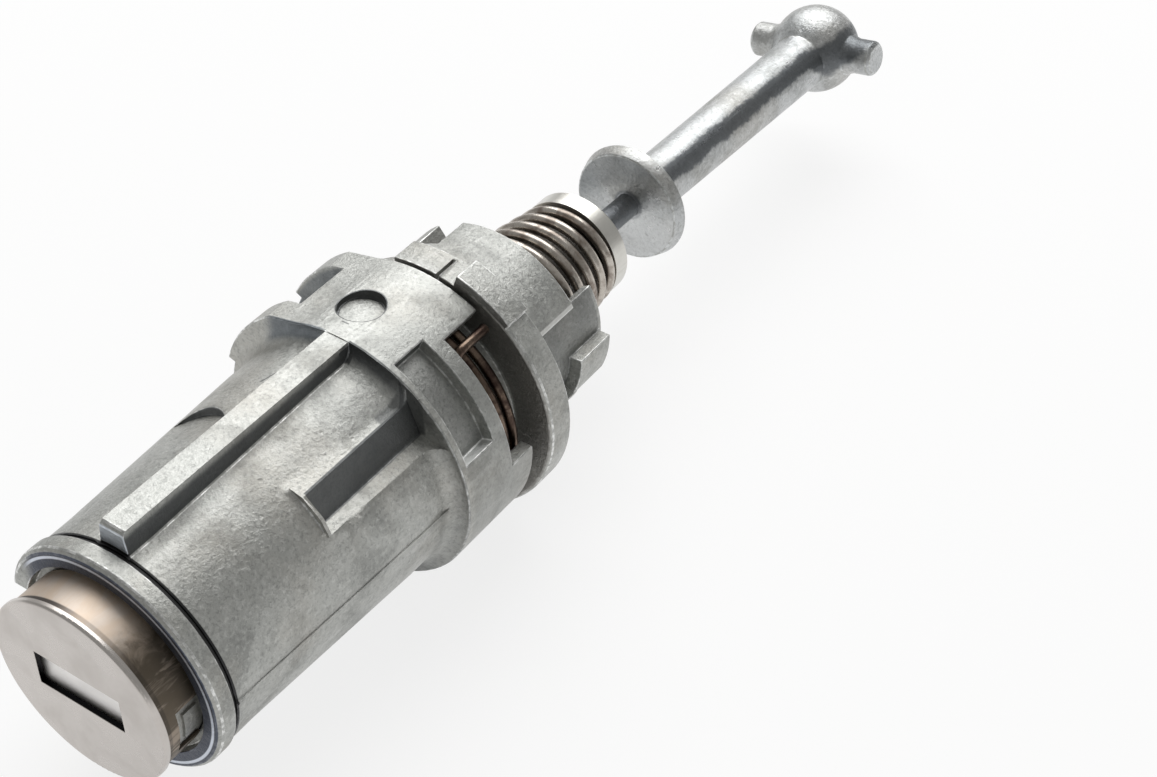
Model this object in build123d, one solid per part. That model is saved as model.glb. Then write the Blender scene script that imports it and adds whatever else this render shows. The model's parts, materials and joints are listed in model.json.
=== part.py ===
from build123d import *
from math import cos, radians, sin
import os

# Car door lock cylinder, in millimetres.
# +Y runs along the lock's axis, from the key face to the tail, and +Z is the side of the long rib.
# Stations are measured from the shoulder where the barrel starts, and the finished pieces are
# moved along the axis so that the origin lies in the middle of the front collar.
# Angles round the axis are in degrees from +Z towards +X.

# Clearances
run_gap = 0.08
free_gap = 0.3
pin_gap = 0.05

# Front collar and barrel of the housing
collar_front = -2.4
collar_rear = -0.4
collar_r = 11.7
collar_chamfer = 0.4
collar_notch_half = 3.0
groove_r = 10.6
seal_r = 11.3
nose_r = 11.45
nose_len = 3.0
barrel_r = 12.2
parting_height = 0.12
parting_width = 0.3

# Long rib on top of the barrel, with drafted sides
rib_half = 1.28
rib_foot_half = 1.65
rib_start = 0.1
rib_bevel = 0.35
rib_drop = 0.1

# Round-backed recess in the barrel, left of the rib
mark_a = -28.7
mark_y = 13.8
mark_r = 4.1
mark_depth = 0.8
mark_run = 7.4

# Stepped boss on the side of the barrel, its skin given by (angle, radius)
boss_start = 14.3
boss_wall = 0.35
boss_skin = ((30.0, 11.8), (37.5, 12.4), (49.0, 12.45), (57.0, 12.1))
boss_inner_r = 10.0
step_top_x = 7.55
step_top_z = 9.85
step_foot_x = 8.7
step_foot_z = 6.85
ledge_x = 10.1
ledge_z = 6.5

# Flange, spring cup and top pad
flange_y = 28.5
flange_step = 1.8
flange_land = 0.2
ear_rise = 0.8
ear_a0 = -72.0
ear_a1 = -20.0
run_out_a = 13.0
ear_len = 2.8
ear_gap = 6.0
waist_depth = 1.0
waist_a1 = -27.5
cut_len = 6.6
cup_len = 9.8
pad_len = 11.5
pad_a0 = -62.0
pad_a1 = 29.0
open_a1 = 88.0
pocket_a0 = 24.0
pocket_a1 = 71.0
pocket_gap = 0.9
pocket_len = 4.0
pocket_depth = 1.3
dimple_x = -0.9
dimple_gap = 4.55
dimple_r = 2.25
dimple_depth = 1.0

# Bores of the housing
collar_bore_r = 9.8
collar_bore_depth = 0.9
head_r = 8.95
head_end = 0.75
sleeve_wall = 1.14
core_r = 7.0
chamber_gap = 6.2
chamber_wall = 1.4

# Cap over the head of the plug
cap_front = -6.5
cap_r = 9.5
cap_rim = 0.6
skirt_r = 9.25
cap_face = 0.5
cap_end = -1.9
cap_edge = 0.3
slot_w = 9.6
slot_h = 3.9
slot_x = 0.1
slot_z = 0.3
crimp_a0 = 80.0
crimp_a1 = 112.0
crimp_y0 = -4.5
crimp_tab = 0.25
tab_gap_a0 = 5.0
tab_gap_a1 = 8.0

# Flap behind the slot
flap_gap = 0.15
flap_t = 0.6
flap_w = 10.4
flap_low_z = -2.3
flap_pin_z = 3.1
flap_pin_r = 0.4
flap_knuckle_r = 0.65
flap_pocket_z = -2.7
flap_pocket_end = 0.35
flap_spring_wire = 0.2

# Key channel, wafers and their springs
key_w = 9.2
key_h = 3.2
wafer_count = 8
wafer_first = 4.6
wafer_last_gap = 4.4
wafer_t = 0.8
wafer_half = 2.8
wafer_throw = 0.6
window_w = 9.8
window_h = 3.3
tooth_w = 1.6
tooth_h = 0.65
tooth_steps = (-1.6, 0.9, -0.6, 1.7, 0.3, -1.2, 1.3, -0.2)
ear_w = 1.8
ear_h = 1.6
wspring_len = 2.6
wspring_seat = 3.5
wspring_r = 0.58
wspring_wire = 0.22
wspring_turns = 4.0

# Plug behind the core, and its clip
core_over = 1.5
neck_r = 4.6
neck_len = 8.0
blade_r = 2.8
blade_flat = 2.0
blade_tip = 1.2
clip_gap = 15.0
clip_t = 0.6
clip_groove_r = 2.2
clip_r = 3.75
clip_mouth = 3.6

# Driver behind the housing
journal_gap = 1.0
guide_gap = 0.8
disc_gap = 0.4
disc_len = 3.1
disc_over = 0.65
disc_top_drop = 0.65
disc_low_step = 1.1
disc_a0 = -12.6
disc_low_a = -105.0
disc_chamfer = 0.3
body_r = 10.9
body_len = 8.3
cup_r = 8.4
web_len = 1.2
hub_r = 4.7
hub_bore = 4.0
hub_len = 12.6
step_a0 = 59.0
step_a1 = 116.0
tongue_r = 9.5
tongue_len = 4.5
hook_a0 = 89.0
hook_a1 = 114.0
hook_back = 1.0
hook_len = 5.0
lug_a0 = 16.0
lug_a1 = 41.0
lug_rise = 0.55
notch_a0 = -38.0
notch_a1 = -20.0
notch_depth = 4.0
slit_a = 8.2
slit_w = 0.35
slit_depth = 0.9

# Return spring between housing and driver
wire_r = 0.5
coil_side_gap = 0.4
coil_gap = 0.9
coil_pitch = 1.28
coil_turns = 2.7
coil_start_a = 36.0
leg_offset = 1.5

# Spring on the driver's hub
rear_wire_r = 0.55
rear_coil_r0 = 7.7
rear_coil_r1 = 5.5
rear_coil_gap = 3.9
rear_turns = 8.0
rear_pitch = 2.0

# End cap, cross pin and tail
end_cap_r = 5.9
end_cap_len = 2.5
end_cap_edge = 0.5
end_hole_r = 2.45
end_cone_r = 3.3
pivot_gap = 6.7
pivot_r = 3.6
cross_pin_r = 1.0
swing = 4.0
droop = 2.3
pin_a = 80.0
stem_r = 1.35
disc2_gap = 16.4
disc2_len = 1.5
disc2_r0 = 6.15
disc2_r1 = 6.6
disc2_dish = 0.45
disc2_ring_r = 2.5
rod_r0 = 3.0
rod_r1 = 3.3
ball_gap = 57.0
ball_r = 5.15
trunnion_r = 2.05
trunnion_root_r = 2.45
trunnion_half = 8.1
trunnion_len = 2.5
trunnion_edge = 0.4

# Sizes worked out from the ones above
flange_r = barrel_r + flange_step
flange_fillet = flange_step - flange_land
ear_r = flange_r + ear_rise
waist_r = flange_r - waist_depth
chamber_r = flange_r - chamber_wall
coil_r = chamber_r - coil_side_gap - wire_r
guide_r = coil_r - wire_r - guide_gap
leg_r = coil_r + leg_offset
disc_r = flange_r + disc_over
disc_top_r = disc_r - disc_top_drop
disc_low_r = body_r + disc_low_step
lug_r = disc_r + lug_rise
top_z = flange_r - rib_drop
taper_end = flange_y - 4.5
cut_end = flange_y + cut_len
cup_end = flange_y + cup_len
pad_end = flange_y + pad_len
pocket_y0 = flange_y + pocket_gap
pocket_y1 = pocket_y0 + pocket_len
dimple_y = flange_y + dimple_gap
chamber_y = flange_y + chamber_gap
core_end = flange_y + core_over
channel_end = core_end - 1.5
wafer_pitch = (core_end - wafer_last_gap - wafer_first) / (wafer_count - 1)
neck_end = core_end + neck_len
clip_y = core_end + clip_gap
blade_end = clip_y + blade_tip
journal_y = core_end + journal_gap
disc_y = pad_end + disc_gap
disc_end = disc_y + disc_len
web_end = disc_end + web_len
body_end = disc_end + body_len
tongue_end = body_end + tongue_len
hook_y0 = body_end - hook_back
hook_y1 = hook_y0 + hook_len
hub_end = body_end + hub_len
coil_y = chamber_y + coil_gap
leg_end = pad_end - 0.2
rear_coil_y = disc_end + rear_coil_gap
end_cap_end = hub_end + end_cap_len
pivot_y = body_end + pivot_gap
disc2_y0 = pivot_y + disc2_gap
disc2_y1 = disc2_y0 + disc2_len
ball_y = pivot_y + ball_gap
sleeve_in_r = core_r + run_gap
sleeve_r = sleeve_in_r + sleeve_wall
bore_r = sleeve_r + run_gap
head_bore_r = head_r + 0.1
skirt_in_r = head_r + pin_gap
flap_y = cap_front + cap_face + flap_gap
flap_pin_y = flap_y + flap_knuckle_r
rear_rise = rear_pitch * rear_turns
origin_y = (collar_front + collar_rear) / 2
far = 60.0


def at(radius, angle, y=0.0):
    """Point at a radius and an angle round the lock's axis."""
    return Vector(radius * sin(radians(angle)), y, radius * cos(radians(angle)))


def turned(points):
    """Solid of revolution about the lock's axis from (radius, y) points."""
    return revolve(make_face(Polyline([(r, y, 0) for r, y in points], close=True)), Axis.Y)


def tube(r_out, r_in, y0, y1):
    """Ring or, with no inner radius, a disc, between two stations."""
    return turned([(r_in, y0), (r_out, y0), (r_out, y1), (r_in, y1)])


def sector(r_in, r_out, a0, a1, y0, y1):
    """Part of a ring between two angles."""
    mid = (a0 + a1) / 2
    edges = [
        ThreePointArc(at(r_out, a0, y0), at(r_out, mid, y0), at(r_out, a1, y0)),
        Line(at(r_out, a1, y0), at(r_in, a1, y0)),
        ThreePointArc(at(r_in, a1, y0), at(r_in, mid, y0), at(r_in, a0, y0)),
        Line(at(r_in, a0, y0), at(r_out, a0, y0)),
    ]
    return extrude(make_face(edges), amount=y1 - y0, dir=(0, 1, 0))


def block(x0, x1, y0, y1, z0, z1):
    """Box between two corners."""
    centre = Pos((x0 + x1) / 2, (y0 + y1) / 2, (z0 + z1) / 2)
    return centre * Box(abs(x1 - x0), abs(y1 - y0), abs(z1 - z0))


def prism(points, y0, y1):
    """Extrusion along the axis of an outline of (x, z) points."""
    outline = Polyline([(x, y0, z) for x, z in points], close=True)
    return extrude(make_face(outline), amount=y1 - y0, dir=(0, 1, 0))


def rod_along(radius, start, end):
    """Round bar between two points."""
    path = Vector(*end) - Vector(*start)
    plane = Plane(origin=Vector(*start), z_dir=path)
    return extrude(plane * Circle(radius), amount=path.length)


def coil(wire, radius, pitch, turns, y, angle, cone=0.0):
    """Coil spring along the axis, its wire drawn with eight flats."""
    path = Helix(pitch=pitch, height=pitch * turns, radius=radius, cone_angle=cone)
    wire_plane = Plane(origin=path @ 0, z_dir=path % 0)
    solid = sweep(wire_plane * RegularPolygon(wire, 8), path=path, is_frenet=True)
    along_y = Plane(origin=(0, y, 0), x_dir=at(1, angle), z_dir=(0, 1, 0))
    return along_y.location * solid


def make_housing():
    """Die-cast housing: collar, barrel, rib, boss, flange, spring cup and pad."""
    solid = turned([
        (core_r, collar_front),
        (collar_r - collar_chamfer, collar_front),
        (collar_r, collar_front + collar_chamfer),
        (collar_r, collar_rear),
        (groove_r, collar_rear),
        (groove_r, 0),
        (nose_r, 0),
        (nose_r, nose_len),
        (barrel_r, taper_end),
        (barrel_r, flange_y),
        (flange_r, flange_y),
        (flange_r, pad_end),
        (core_r, pad_end),
    ])
    foot = solid.edges().filter_by(GeomType.CIRCLE)
    foot = foot.filter_by(lambda e: abs(e.radius - barrel_r) < 1e-3 and abs(e.center().Y - flange_y) < 1e-3)
    solid = fillet(foot, flange_fillet)
    # raised side away from the boss, which runs out into the pad, with a waist between two ears
    solid += sector(barrel_r, ear_r, ear_a0, ear_a1, flange_y, pad_end)
    solid -= make_run_out()
    first = flange_y + ear_len
    second = first + ear_gap
    solid -= sector(waist_r, far, ear_a0 - 25, waist_a1, first, second)
    solid -= sector(flange_r, far, ear_a0 - 25, pad_a0, second, pad_end + 1)
    # recess, rib and boss on the barrel
    solid -= make_mark()
    solid += make_rib()
    solid += make_boss()
    solid -= make_step()
    # parting ridges of the casting
    for side in (-1, 1):
        solid += make_ridge(side)
    # cut-backs of the spring cup, which leave the coils open to view
    solid -= sector(bore_r, far, pad_a1, open_a1, cut_end, pad_end + 1)
    solid -= sector(bore_r, far, open_a1, 360 + pad_a0, cup_end, pad_end + 1)
    # window pocket in the side of the flange
    pocket = sector(flange_r - pocket_depth, far, pocket_a0, pocket_a1, pocket_y0, pocket_y1)
    solid -= pocket
    # round blind recess in the pad
    middle = flange_r - dimple_depth / 2 + 0.5
    solid -= Pos(dimple_x, dimple_y, middle) * Cylinder(dimple_r, dimple_depth + 1)
    # bores
    solid -= tube(collar_bore_r, 0, collar_front - 1, collar_front + collar_bore_depth)
    solid -= tube(head_bore_r, 0, collar_front - 1, head_end + 0.05)
    solid -= tube(bore_r, 0, collar_front - 1, pad_end + 1)
    solid -= tube(chamber_r, 0, chamber_y, pad_end + 1)
    # gap in the front collar
    solid -= block(
        -far, -core_r, collar_front - 1, collar_rear, -collar_notch_half, collar_notch_half
    )
    return solid


def make_ridge(side):
    """Fine ridge that follows the barrel along the casting's parting line."""
    outline = Polyline(
        [
            (side * (nose_r - 1), rib_start, -parting_width / 2),
            (side * (nose_r + parting_height), rib_start, -parting_width / 2),
            (side * (nose_r + parting_height), nose_len, -parting_width / 2),
            (side * (barrel_r + parting_height), taper_end, -parting_width / 2),
            (side * (barrel_r + parting_height), flange_y + 0.5, -parting_width / 2),
            (side * (nose_r - 1), flange_y + 0.5, -parting_width / 2),
        ],
        close=True,
    )
    return extrude(make_face(outline), amount=parting_width, dir=(0, 0, 1))


def make_run_out():
    """Wedge that is taken off the raised side, so that it runs out into the pad."""
    edge = [at(ear_r, ear_a1 - run_out_a), at(flange_r, ear_a1)]
    outside = [at(ear_r + 2, ear_a1), at(ear_r + 2, ear_a1 - run_out_a)]
    return prism([(p.X, p.Z) for p in edge + outside], flange_y - 0.1, pad_end + 1)


def make_rib():
    """Long narrow rib with drafted sides and a flat top, which ends in the pad."""
    foot_z = nose_r - 0.6
    rib = prism(
        [
            (-rib_foot_half, foot_z),
            (rib_foot_half, foot_z),
            (rib_half, top_z),
            (-rib_half, top_z),
        ],
        rib_start,
        flange_y + 1,
    )
    nose = Polyline(
        [
            (-rib_foot_half - 1, rib_start, top_z - rib_bevel),
            (-rib_foot_half - 1, rib_start, top_z),
            (-rib_foot_half - 1, rib_start + rib_bevel, top_z),
        ],
        close=True,
    )
    return rib - extrude(make_face(nose), amount=2 * rib_foot_half + 2, dir=(1, 0, 0))


def barrel_radius(y):
    """Radius of the tapered barrel at a station."""
    return nose_r + (barrel_r - nose_r) * (y - nose_len) / (taper_end - nose_len)


def make_mark():
    """Recess with a round rear wall, which deepens towards the flange."""
    rear = mark_y + mark_r
    start = rear - mark_run
    skin = barrel_radius(rear)
    side = Polyline(
        [
            (-mark_r - 1, start, barrel_radius(start)),
            (-mark_r - 1, start, skin + 2),
            (-mark_r - 1, rear + 1, skin + 2),
            (-mark_r - 1, rear + 1, skin - mark_depth),
            (-mark_r - 1, rear, skin - mark_depth),
        ],
        close=True,
    )
    ramp = extrude(make_face(side), amount=2 * mark_r + 2, dir=(1, 0, 0))
    disc = Pos(0, mark_y, skin) * Cylinder(mark_r, 2 * mark_r)
    return (ramp & disc).rotate(Axis.Y, mark_a)


def make_boss():
    """Raised boss on the side of the barrel, before its step is cut."""
    skin = [at(radius, angle) for angle, radius in boss_skin]
    inside = [at(boss_inner_r, boss_skin[-1][0]), at(boss_inner_r, boss_skin[0][0])]
    return prism([(p.X, p.Z) for p in skin + inside], boss_start, flange_y + 0.2)


def make_step():
    """Cut in boss and barrel that leaves a steep wall above a ledge."""
    return prism(
        [
            (step_top_x, step_top_z + 4),
            (step_top_x, step_top_z),
            (step_foot_x, step_foot_z),
            (ledge_x, ledge_z),
            (ledge_x + 4, ledge_z),
            (ledge_x + 4, step_top_z + 4),
        ],
        boss_start + boss_wall,
        flange_y,
    )


def make_seal_ring():
    """Sealing ring in the groove behind the front collar."""
    return tube(seal_r, groove_r + 0.02, collar_rear + 0.02, -0.02)


def make_plug_cap():
    """Pressed steel cap with the key slot and a crimped opening in its skirt."""
    solid = turned([
        (0, cap_front),
        (cap_r, cap_front),
        (cap_r, cap_front + cap_rim),
        (skirt_r, cap_front + cap_rim),
        (skirt_r, cap_end),
        (skirt_in_r, cap_end),
        (skirt_in_r, cap_front + cap_face),
        (0, cap_front + cap_face),
    ])
    rim = solid.edges().filter_by(GeomType.CIRCLE).sort_by(Axis.Y)[0]
    solid = fillet(rim, cap_edge)
    solid -= block(
        slot_x - slot_w / 2, slot_x + slot_w / 2,
        cap_front - 1, cap_front + cap_face + 0.5,
        slot_z - slot_h / 2, slot_z + slot_h / 2,
    )
    solid -= sector(head_r, far, crimp_a0, crimp_a1, crimp_y0, cap_end + 1)
    return solid


def wafer_station(index):
    """Middle of a wafer along the axis."""
    return wafer_first + index * wafer_pitch


def wafer_side(index):
    """Side that a wafer is pushed to: +1 for +X, -1 for -X."""
    return 1 if index % 2 == 0 else -1


def make_plug():
    """Turned plug: head, core with key channel and wafer slots, neck and flatted end."""
    solid = tube(head_r, 0, cap_front + cap_face + 0.05, head_end)
    solid += tube(core_r, 0, head_end - 0.1, core_end)
    solid += tube(neck_r, 0, core_end - 0.1, neck_end)
    solid += tube(blade_r, 0, neck_end - 0.1, blade_end)
    # flats for the driver
    for side in (-1, 1):
        solid -= block(-far, far, neck_end, blade_end + 1, side * blade_flat, side * far)
    solid -= tube(blade_r + 1, clip_groove_r, clip_y - clip_t / 2 - 0.05, clip_y + clip_t / 2 + 0.05)
    # key channel and the pocket of the flap
    solid -= block(-key_w / 2, key_w / 2, cap_front, channel_end, -key_h / 2, key_h / 2)
    pocket_half = flap_w / 2 + 0.15
    pocket_top = flap_pin_z + flap_knuckle_r + 0.15
    solid -= block(-pocket_half, pocket_half, cap_front, flap_pocket_end, flap_pocket_z, pocket_top)
    spring_half = pocket_half + 1.6
    solid -= block(
        pocket_half - 0.1, spring_half, cap_front, flap_pin_y + 1.2,
        flap_pin_z - 1.2, flap_pin_z + 1.0,
    )
    solid -= rod_along(
        flap_pin_r + 0.02,
        (-pocket_half - 1.6, flap_pin_y, flap_pin_z),
        (spring_half + 0.6, flap_pin_y, flap_pin_z),
    )
    # tab behind the crimped opening of the cap
    solid += sector(
        head_r - 0.5, head_r + crimp_tab, crimp_a0 + tab_gap_a0, crimp_a1 - tab_gap_a1,
        crimp_y0 + 0.7, cap_end - 0.3,
    )
    for index in range(wafer_count):
        solid -= make_wafer_slot(index)
    return solid


def make_wafer_slot(index):
    """Cut in the core for one wafer, its ear and its spring."""
    y = wafer_station(index)
    side = wafer_side(index)
    half_t = wafer_t / 2 + 0.07
    half_z = wafer_half + 0.1
    cut = block(-core_r - 1, core_r + 1, y - half_t, y + half_t, -half_z, half_z)
    ear_room = wafer_throw + 0.1
    ear_end = side * (ear_w / 2 + ear_room)
    spring_end = -side * wspring_seat
    cut += block(
        min(ear_end, -ear_end), max(ear_end, -ear_end), y - half_t, y + half_t, 0, core_r + 1
    )
    cut += block(
        min(0, spring_end), max(0, spring_end),
        y - wspring_r - 0.08, y + wspring_r + 0.08,
        wafer_half + ear_h / 2 - wspring_r - 0.08, core_r + 1,
    )
    return cut


def make_wafer(index):
    """Tumbler wafer: rounded ends, key window with a tooth, and an ear for its spring."""
    y = wafer_station(index)
    side = wafer_side(index)
    half_t = wafer_t / 2
    solid = tube(core_r - 0.1, 0, y - half_t, y + half_t)
    solid &= block(-far, far, y - half_t, y + half_t, -wafer_half, wafer_half)
    solid -= block(-window_w / 2, window_w / 2, y - 1, y + 1, -window_h / 2, window_h / 2)
    tooth = tooth_steps[index % len(tooth_steps)]
    solid += block(
        tooth - tooth_w / 2, tooth + tooth_w / 2, y - half_t, y + half_t,
        -window_h / 2 - 0.1, -window_h / 2 + tooth_h,
    )
    solid += block(
        -ear_w / 2, ear_w / 2, y - half_t, y + half_t, wafer_half - 0.1, wafer_half + ear_h
    )
    return Pos(side * wafer_throw, 0, 0) * solid


def make_wafer_spring(index):
    """Small coil spring that pushes one wafer out."""
    y = wafer_station(index)
    side = wafer_side(index)
    radius = wspring_r - wspring_wire / 2
    length = wspring_len - wspring_wire
    path = Helix(pitch=length / wspring_turns, height=length, radius=radius)
    wire_plane = Plane(origin=path @ 0, z_dir=path % 0)
    solid = sweep(wire_plane * Rectangle(wspring_wire, wspring_wire), path=path, is_frenet=True)
    start = -side * (wspring_seat - wspring_wire / 2 - 0.02)
    seat = Plane(origin=(start, y, wafer_half + ear_h / 2), x_dir=(0, 1, 0), z_dir=(side, 0, 0))
    return seat.location * solid


def make_clutch_sleeve():
    """Sleeve round the core, with a long window on each side for the wafer ends."""
    y0 = head_end + 0.1
    y1 = core_end - 0.2
    solid = tube(sleeve_r, sleeve_in_r, y0, y1)
    first = wafer_station(0) - wafer_t
    last = wafer_station(wafer_count - 1) + wafer_t
    solid -= block(-far, far, first, last, -wafer_half - 0.2, wafer_half + 0.2)
    return solid


def make_shutter():
    """Flap that closes the key slot, with its knuckle round the pin."""
    top = flap_pin_z
    solid = block(-flap_w / 2, flap_w / 2, flap_y, flap_y + flap_t, flap_low_z, top)
    solid += rod_along(
        flap_knuckle_r, (-flap_w / 2, flap_pin_y, flap_pin_z), (flap_w / 2, flap_pin_y, flap_pin_z)
    )
    solid -= rod_along(flap_pin_r + pin_gap, (-far, flap_pin_y, flap_pin_z), (far, flap_pin_y, flap_pin_z))
    return solid


def make_shutter_pin():
    """Hinge pin of the flap, pressed into the head of the plug."""
    reach = flap_w / 2 + 1.6
    return rod_along(flap_pin_r, (-reach, flap_pin_y, flap_pin_z), (reach + 0.6, flap_pin_y, flap_pin_z))


def make_shutter_spring():
    """Torsion spring on the end of the flap's pin."""
    radius = flap_pin_r + 0.1 + flap_spring_wire / 2
    path = Helix(pitch=0.3, height=0.9, radius=radius)
    wire_plane = Plane(origin=path @ 0, z_dir=path % 0)
    solid = sweep(wire_plane * Rectangle(flap_spring_wire, flap_spring_wire), path=path, is_frenet=True)
    start = flap_w / 2 + 0.35
    seat = Plane(origin=(start, flap_pin_y, flap_pin_z), x_dir=(0, 1, 0), z_dir=(1, 0, 0))
    return seat.location * solid


def make_retaining_clip():
    """Open clip in the groove at the end of the plug."""
    solid = tube(clip_r, clip_groove_r + 0.02, clip_y - clip_t / 2, clip_y + clip_t / 2)
    solid -= block(-clip_mouth / 2, clip_mouth / 2, clip_y - 1, clip_y + 1, 0, far)
    return solid


def make_driver():
    """Die-cast driver: journal, disc, open sleeve, hub tube, tongue, hook and lugs."""
    solid = turned([
        (0, journal_y),
        (bore_r - run_gap, journal_y),
        (bore_r - run_gap, cut_end),
        (guide_r, cut_end + 0.4),
        (guide_r, disc_y),
        (disc_r - disc_chamfer, disc_y),
        (disc_r, disc_y + disc_chamfer),
        (disc_r, disc_end),
        (body_r, disc_end),
        (body_r, body_end),
        (cup_r, body_end),
        (cup_r, web_end + 1.5),
        (hub_r,web_end + 1.5),
        (hub_r,hub_end),
        (0, hub_end),
    ])
    # lower level of the sleeve with its tongue and hook
    solid -= sector(tongue_r, far, step_a0, step_a1, disc_end, body_end + 1)
    solid += sector(cup_r, tongue_r, step_a0, step_a1, body_end - 1, tongue_end)
    solid += sector(tongue_r - 0.3, body_r, hook_a0, hook_a1, hook_y0, hook_y1)
    # disc lowered on one side and on top, with a lug and a slit in its rim
    solid -= sector(disc_top_r, far, disc_a0 - 1, lug_a0, disc_y - 1, disc_end + 1)
    solid -= sector(disc_low_r, far, disc_low_a, disc_a0, disc_y - 1, disc_end + 1)
    solid += sector(disc_top_r - 1, lug_r, lug_a0, lug_a1, disc_y + 0.1, disc_end)
    slit = block(
        -slit_w / 2, slit_w / 2, disc_y - 1, disc_end - 0.4, disc_top_r - slit_depth, disc_r + 2
    )
    solid -= slit.rotate(Axis.Y, slit_a)
    # notch in the rim of the sleeve
    solid -= sector(cup_r - 0.5, far, notch_a0, notch_a1, body_end - notch_depth, body_end + 1)
    # room for the neck, the flatted end and the clip of the plug
    solid -= tube(neck_r + free_gap, 0, journal_y - 1, neck_end + free_gap)
    blade_hole = tube(blade_r + pin_gap, 0, neck_end, web_end + 1)
    flat_half = blade_flat + pin_gap
    blade_hole &= block(-far, far, neck_end, web_end + 1, -flat_half, flat_half)
    solid -= blade_hole
    solid -= tube(hub_bore, 0, clip_y - clip_t / 2 - 0.05, hub_end + 1)
    # hole for the cross pin
    reach = hub_r + 1
    solid -= rod_along(cross_pin_r + pin_gap, at(-reach, pin_a, pivot_y), at(reach, pin_a, pivot_y))
    return solid


def make_return_spring():
    """Torsion spring in the cup of the housing, with a leg bent along the axis."""
    solid = coil(wire_r, coil_r, coil_pitch, coil_turns, coil_y, coil_start_a)
    elbow = at(leg_r, coil_start_a, coil_y)
    solid += rod_along(wire_r * 0.9, at(coil_r, coil_start_a, coil_y), elbow)
    solid += rod_along(wire_r * 0.9, elbow, at(leg_r, coil_start_a, leg_end))
    solid += Pos(*elbow) * Sphere(wire_r * 0.9)
    return solid


def make_rear_spring():
    """Conical spring on the hub of the driver."""
    cone = -(rear_coil_r0 - rear_coil_r1) / rear_rise * 57.3
    return coil(rear_wire_r, rear_coil_r0, rear_pitch, rear_turns, rear_coil_y, 0, cone)


def make_end_cap():
    """Cap on the end of the hub, with a coned hole for the stem."""
    solid = turned([
        (end_hole_r, hub_end - 1.5),
        (hub_bore - 0.03, hub_end - 1.5),
        (hub_bore - 0.03, hub_end + 0.02),
        (end_cap_r, hub_end + 0.02),
        (end_cap_r, end_cap_end - end_cap_edge),
        (end_cap_r - end_cap_edge, end_cap_end),
        (end_cone_r, end_cap_end),
        (end_hole_r, end_cap_end - 1.2),
    ])
    return solid


def make_drive_pin():
    """Cross pin through hub and stem head."""
    reach = hub_r - 0.1
    return rod_along(cross_pin_r, at(-reach, pin_a, pivot_y), at(reach, pin_a, pivot_y))


def make_trunnion(side):
    """Stout root that narrows to a turned end with a bevelled edge, on one side of the ball."""
    solid = turned([
        (0, 0),
        (trunnion_root_r, 0),
        (trunnion_root_r, ball_r - 0.9),
        (trunnion_r, trunnion_half - trunnion_len),
        (trunnion_r, trunnion_half - trunnion_edge),
        (trunnion_r - trunnion_edge, trunnion_half),
        (0, trunnion_half),
    ])
    solid = solid.rotate(Axis.Z, -90 * side).rotate(Axis.Y, pin_a - 90)
    return Pos(0, ball_y, 0) * solid


def make_tail():
    """Stem head, stem, dished disc, tapered rod, ball and trunnions in one piece."""
    head_foot = pivot_y + (pivot_r**2 - stem_r**2) ** 0.5
    ball_foot = ball_y - (ball_r**2 - rod_r1**2) ** 0.5
    outline = [
        ThreePointArc((0, pivot_y - pivot_r), (pivot_r, pivot_y), (stem_r, head_foot)),
        Polyline(
            (stem_r, head_foot),
            (stem_r, disc2_y0 + disc2_dish),
            (disc2_ring_r, disc2_y0 + disc2_dish),
            (disc2_r0, disc2_y0),
            (disc2_r1, disc2_y1),
            (rod_r0, disc2_y1 + 0.1),
            (rod_r1, ball_foot),
        ),
        ThreePointArc((rod_r1, ball_foot), (ball_r, ball_y), (0, ball_y + ball_r)),
        Line((0, ball_y + ball_r), (0, pivot_y - pivot_r)),
    ]
    solid = revolve(make_face(outline), Axis.Y)
    for side in (-1, 1):
        solid += make_trunnion(side)
    # slotted cross hole, long enough for the tail to rock on its pin
    hole = cross_pin_r + pin_gap
    lean = pivot_r * sin(radians(swing)) + 0.1
    reach = pivot_r + 1
    for shift in (-lean, 0, lean):
        y = pivot_y + shift
        solid -= rod_along(hole, at(-reach, pin_a, y), at(reach, pin_a, y))
    slot = block(-reach, reach, pivot_y - lean, pivot_y + lean, -hole, hole)
    solid -= slot.rotate(Axis.Y, pin_a - 90)
    # the loose tail hangs down a little on its pin
    return solid.rotate(Axis((0, pivot_y, 0), tuple(at(1, pin_a))), -droop)


def build():
    """All pieces of the lock cylinder by name."""
    pieces = {
        "housing": make_housing(),
        "seal_ring": make_seal_ring(),
        "plug_cap": make_plug_cap(),
        "plug": make_plug(),
        "clutch_sleeve": make_clutch_sleeve(),
        "shutter": make_shutter(),
        "shutter_pin": make_shutter_pin(),
        "shutter_spring": make_shutter_spring(),
        "retaining_clip": make_retaining_clip(),
        "driver": make_driver(),
        "return_spring": make_return_spring(),
        "rear_spring": make_rear_spring(),
        "end_cap": make_end_cap(),
        "drive_pin": make_drive_pin(),
        "tail": make_tail(),
    }
    for index in range(wafer_count):
        pieces[f"wafer_{index + 1}"] = make_wafer(index)
        pieces[f"wafer_spring_{index + 1}"] = make_wafer_spring(index)
    return pieces


os.makedirs("parts", exist_ok=True)
for name, piece in build().items():
    export_step(Pos(0, -origin_y, 0) * piece, f"parts/{name}.step")
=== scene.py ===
"""Looks of a car door lock cylinder: cast housing, capped key slot, springs and tail rod."""

import json
import logging
import math
from dataclasses import dataclass, field
from enum import Enum
from typing import Iterable, Union

import bmesh
import bpy
from mathutils import Matrix, Vector
from mathutils.geometry import intersect_point_line

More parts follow.
